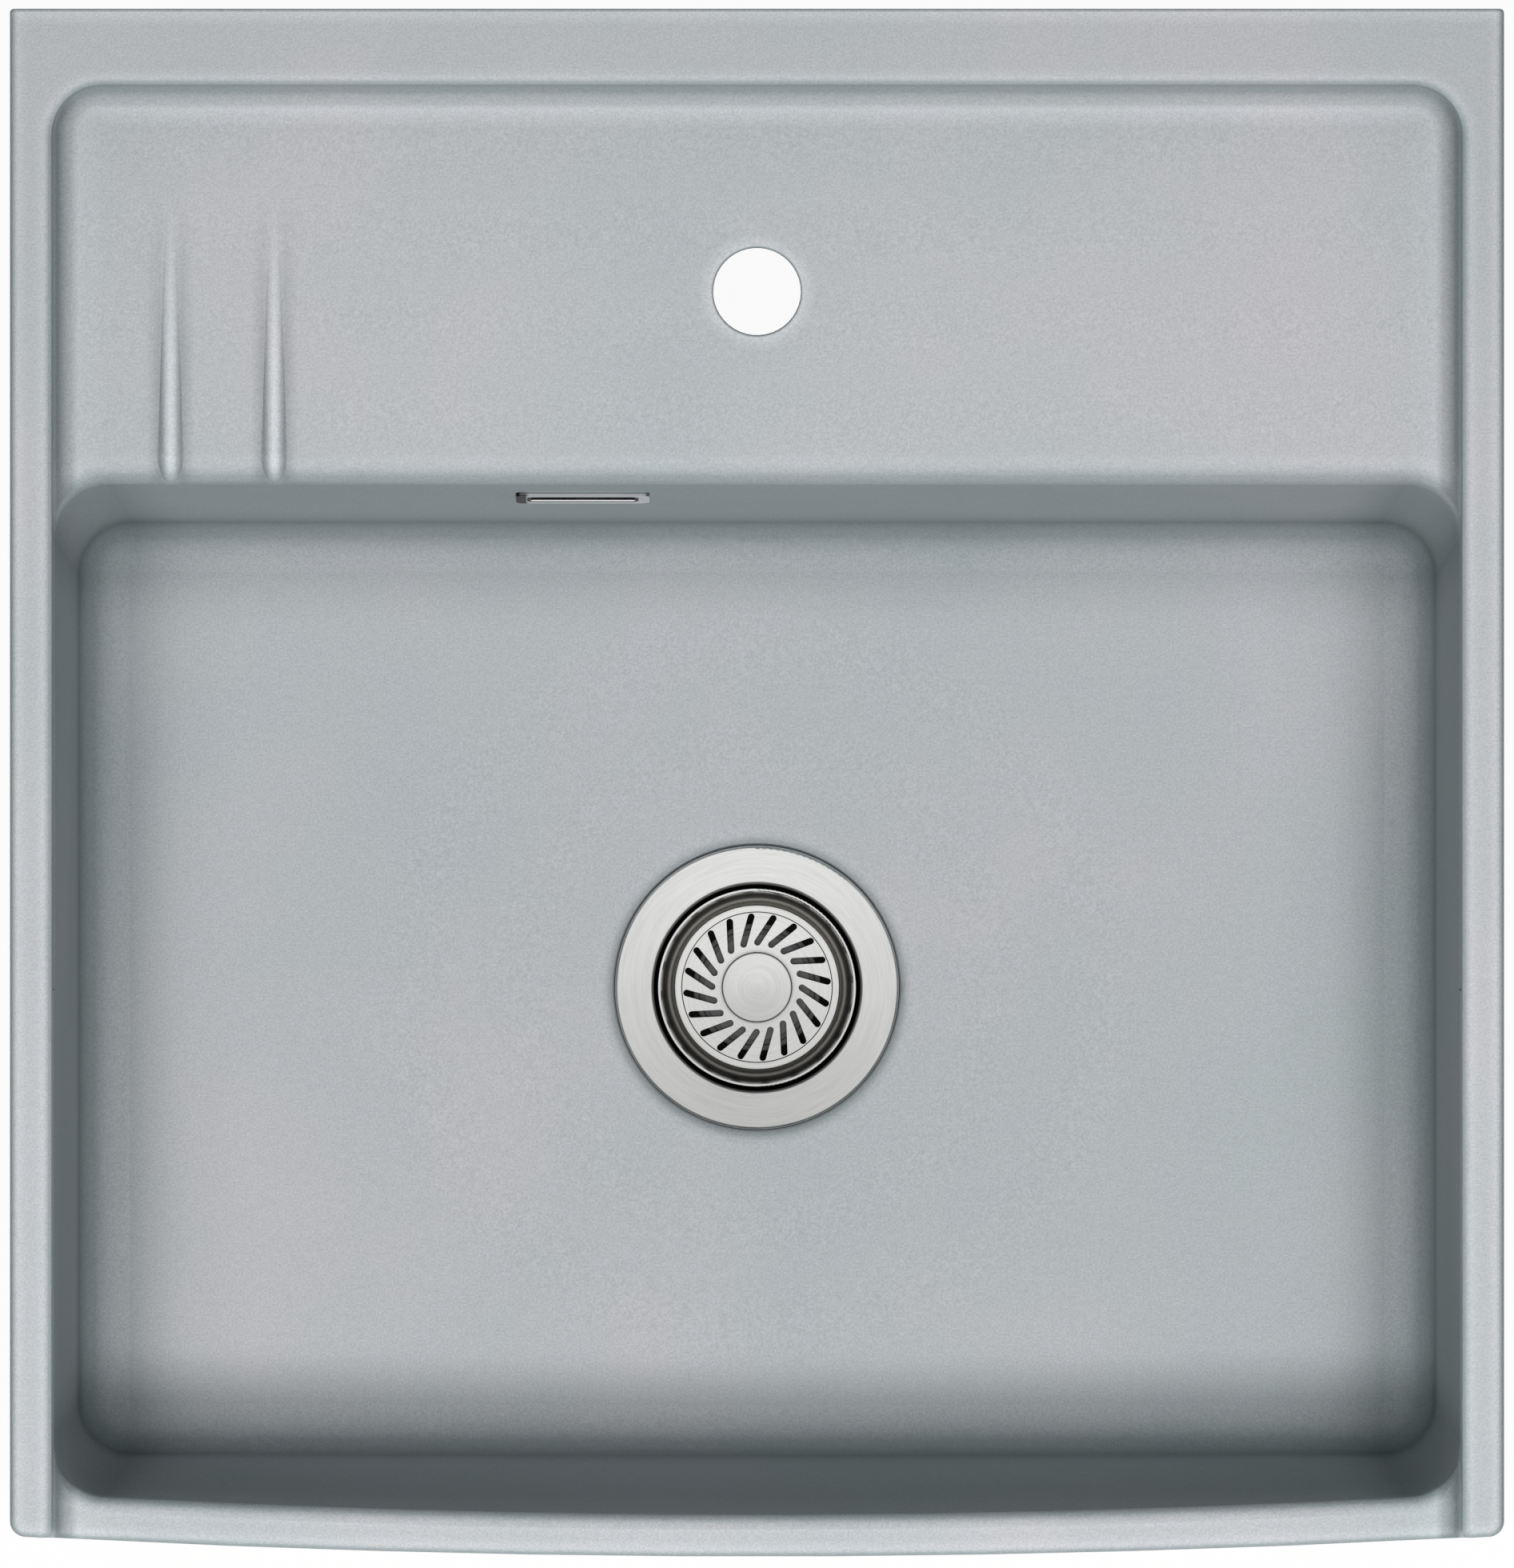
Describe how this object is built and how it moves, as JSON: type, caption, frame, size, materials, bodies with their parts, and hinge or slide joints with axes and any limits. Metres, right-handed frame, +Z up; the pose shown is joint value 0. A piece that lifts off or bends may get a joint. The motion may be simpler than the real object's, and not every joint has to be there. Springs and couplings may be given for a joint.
{
  "type": "kitchen sink",
  "caption": "Single-bowl fireclay kitchen sink with a tap ledge, drip ribs, a bowed apron front, a lift-out basket strainer, a waste body and an overflow.",
  "frame": {"origin": "on the waste axis, in the plane of the base ring that rests on the cabinet", "axes": "+X to the user's right, +Y to the back edge with the tap ledge, +Z up"},
  "size_m": [0.595, 0.6165, 0.29],
  "materials": {
    "fireclay": "matt fireclay with a fine grain",
    "steel": "brushed stainless steel",
    "polished_steel": "polished stainless steel",
    "chrome": "bright chrome",
    "white_plastic": "moulded plastic, satin",
    "grey_plastic": "dark moulded plastic",
    "seal_rubber": "matt rubber",
    "plug_rubber": "soft matt rubber",
    "brass": "turned brass"
  },
  "bodies": {
    "sink": {"sink_body": "fireclay", "strainer_cup": "steel", "flange_seal": "seal_rubber", "floor_gasket": "seal_rubber", "screw_washer": "steel", "clamp_screw": "steel", "thread_insert": "brass", "waste_body": "white_plastic", "overflow_cover": "chrome", "overflow_seal": "seal_rubber", "overflow_elbow": "white_plastic", "overflow_pipe": "white_plastic", "upper_pipe_nut": "white_plastic", "lower_pipe_nut": "white_plastic", "upper_pipe_seal": "seal_rubber", "lower_pipe_seal": "seal_rubber"},
    "strainer_basket": {"basket": "polished_steel", "basket_knob": "steel", "basket_stem": "steel", "plug_carrier": "grey_plastic", "plug_seal": "plug_rubber", "stem_nut": "steel"}
  },
  "joints": [
    {"name": "basket_lift", "type": "slide", "parent": "sink", "child": "strainer_basket", "axis": [0, 0, 1], "range_m": [0, 0.26]}
  ]
}
